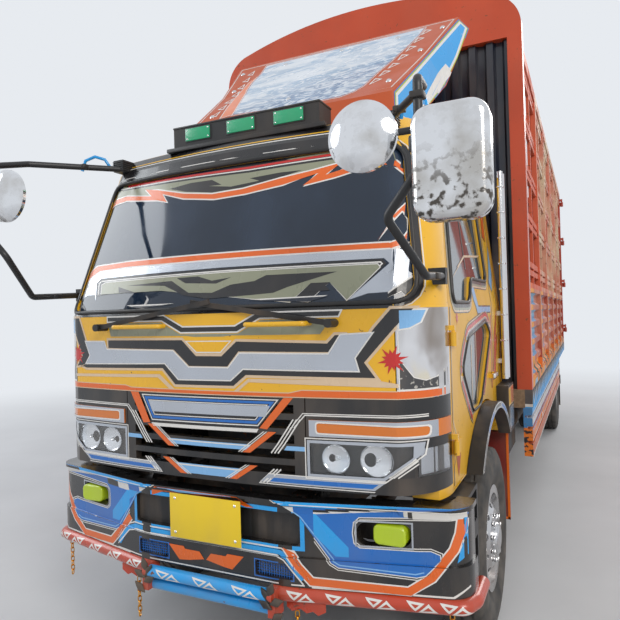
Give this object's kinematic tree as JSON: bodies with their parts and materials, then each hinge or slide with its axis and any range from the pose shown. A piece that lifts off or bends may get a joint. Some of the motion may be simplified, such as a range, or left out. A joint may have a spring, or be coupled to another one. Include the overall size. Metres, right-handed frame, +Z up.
{
  "type": "decorated cargo truck",
  "caption": "Decorated cab-over cargo truck with tilting cab, steered front wheels, twin rear wheels, slatted body and swinging tail doors.",
  "frame": {"origin": "middle of the truck's length and width, on the road under the tyres", "axes": "+X the truck's left, +Y towards the tail, +Z up"},
  "size_m": [2.69, 8.95, 4.1998],
  "materials": {
    "chassis_black": "satin dark paint with dust",
    "cast_metal": "rough cast, oily",
    "spring_steel": "dusty dark steel",
    "body_red": "brick red gloss paint",
    "body_navy": "dark navy paint",
    "body_blue": "sky blue paint with pale and orange patterns",
    "cab_yellow": "yellow gloss paint with striped vinyl",
    "cab_dark": "black matt",
    "cab_silver": "silver vinyl with black and white outlines",
    "chrome": "polished, some wear",
    "deflector_orange": "orange paint with white triangles",
    "glass_dark": "dark tinted glass",
    "glass_clear": "clear fluted lamp glass",
    "lamp_green": "yellow green lamp glass",
    "lamp_amber": "amber lens plastic",
    "interior_grey": "grain moulded",
    "seat_cloth": "dark vinyl",
    "bumper_black": "black gloss with blue and orange vinyl",
    "pipe_paint": "orange red and sky blue enamel with white triangles",
    "rubber_flap": "dusty rubber",
    "guard_paint": "blue, lilac and orange bars, dusty",
    "tyre_rubber": "dusty tyre rubber",
    "wheel_metal": "polished steel",
    "wheel_paint": "painted steel, dusty",
    "timber_deck": "worn boards"
  },
  "bodies": {
    "chassis": {"chassis_frame": "chassis_black", "leaf_springs": "spring_steel", "front_axle_beam": "cast_metal", "rear_axle": "cast_metal", "engine_block": "cast_metal", "propshaft": "chassis_black", "exhaust": "spring_steel", "fuel_tank": "body_blue", "battery_box": "chassis_black", "front_bumper": "bumper_black", "bumper_pipes": "pipe_paint", "cab_steps": "cab_dark", "mudflaps": "rubber_flap", "side_guards": "guard_paint", "cargo_floor": "timber_deck", "front_wall": "body_navy", "front_frame": "body_red", "side_walls": "body_red", "tail_frame": "body_red", "tail_bumper": "body_blue", "radiator": "cast_metal", "fog_lamps": "lamp_green"},
    "cab": {"cab_body": "cab_yellow", "windscreen": "glass_dark", "front_panel": "cab_yellow", "corner_panels": "cab_silver", "grille": "cab_dark", "headlamps": "cab_dark", "arch_flares": "cab_silver", "dashboard": "interior_grey", "seats": "seat_cloth", "wipers": "cab_dark", "roof_light_box": "cab_dark", "wind_deflector": "deflector_orange", "mirrors": "chrome", "corner_vanes": "chrome", "lamp_glasses": "glass_clear", "indicators": "lamp_amber"},
    "cab_door_left": {"cab_door_left": "cab_yellow", "door_glass_left": "glass_dark"},
    "cab_door_right": {"cab_door_right": "cab_yellow", "door_glass_right": "glass_dark"},
    "steering_wheel": {"steering_wheel": "interior_grey"},
    "knuckle_left": {"knuckle_left": "cast_metal"},
    "knuckle_right": {"knuckle_right": "cast_metal"},
    "tie_rod": {"tie_rod": "chassis_black"},
    "front_wheel_left": {"front_wheel_left": "wheel_metal", "front_tyre_left": "tyre_rubber"},
    "front_wheel_right": {"front_wheel_right": "wheel_metal", "front_tyre_right": "tyre_rubber"},
    "rear_wheels_left": {"rear_wheels_left": "wheel_paint", "rear_tyres_left": "tyre_rubber"},
    "rear_wheels_right": {"rear_wheels_right": "wheel_paint", "rear_tyres_right": "tyre_rubber"},
    "tail_door_left": {"tail_door_left": "body_red"},
    "tail_door_right": {"tail_door_right": "body_red"}
  },
  "joints": [
    {"name": "cab_tilt", "type": "hinge", "parent": "chassis", "child": "cab", "pos_m": [0, -3.875, 0.85], "axis": [1, 0, 0], "range_deg": [0, 45]},
    {"name": "door_left_hinge", "type": "hinge", "parent": "cab", "child": "cab_door_left", "pos_m": [1.063, -3.69, 1.4], "axis": [0, 0, -1], "range_deg": [0, 70]},
    {"name": "door_right_hinge", "type": "hinge", "parent": "cab", "child": "cab_door_right", "pos_m": [-1.063, -3.69, 1.4], "axis": [0, 0, 1], "range_deg": [0, 70]},
    {"name": "steer_left", "type": "hinge", "parent": "chassis", "child": "knuckle_left", "pos_m": [0.8, -2.825, 0.5], "axis": [0, 0, 1], "range_deg": [-35, 35]},
    {"name": "steer_right", "type": "hinge", "parent": "chassis", "child": "knuckle_right", "pos_m": [-0.8, -2.825, 0.5], "axis": [0, 0, 1], "range_deg": [-35, 35]},
    {"name": "tie_rod_joint", "type": "hinge", "parent": "knuckle_left", "child": "tie_rod", "pos_m": [0.8, -2.635, 0.47], "axis": [0, 0, 1], "range_deg": [-35, 35]},
    {"name": "steering_wheel_turn", "type": "hinge", "parent": "cab", "child": "steering_wheel", "pos_m": [-0.47, -3.425, 1.85], "axis": [0, 0.4695, 0.8829], "range_deg": [-640, 640]},
    {"name": "front_wheel_left_spin", "type": "hinge", "parent": "knuckle_left", "child": "front_wheel_left", "pos_m": [0.97, -2.825, 0.5], "axis": [1, 0, 0], "continuous": true},
    {"name": "front_wheel_right_spin", "type": "hinge", "parent": "knuckle_right", "child": "front_wheel_right", "pos_m": [-0.97, -2.825, 0.5], "axis": [1, 0, 0], "continuous": true},
    {"name": "rear_wheels_left_spin", "type": "hinge", "parent": "chassis", "child": "rear_wheels_left", "pos_m": [0.89, 3.075, 0.5], "axis": [1, 0, 0], "continuous": true},
    {"name": "rear_wheels_right_spin", "type": "hinge", "parent": "chassis", "child": "rear_wheels_right", "pos_m": [-0.89, 3.075, 0.5], "axis": [1, 0, 0], "continuous": true},
    {"name": "tail_door_left_hinge", "type": "hinge", "parent": "chassis", "child": "tail_door_left", "pos_m": [1.255, 4.4025, 2.4], "axis": [0, 0, -1], "range_deg": [0, 270]},
    {"name": "tail_door_right_hinge", "type": "hinge", "parent": "chassis", "child": "tail_door_right", "pos_m": [-1.255, 4.4025, 2.4], "axis": [0, 0, 1], "range_deg": [0, 270]}
  ],
  "couplings": [
    {"joint": "steer_right", "follows": "steer_left", "ratio": 1},
    {"joint": "tie_rod_joint", "follows": "steer_left", "ratio": -1},
    {"joint": "steering_wheel_turn", "follows": "steer_left", "ratio": 18}
  ]
}
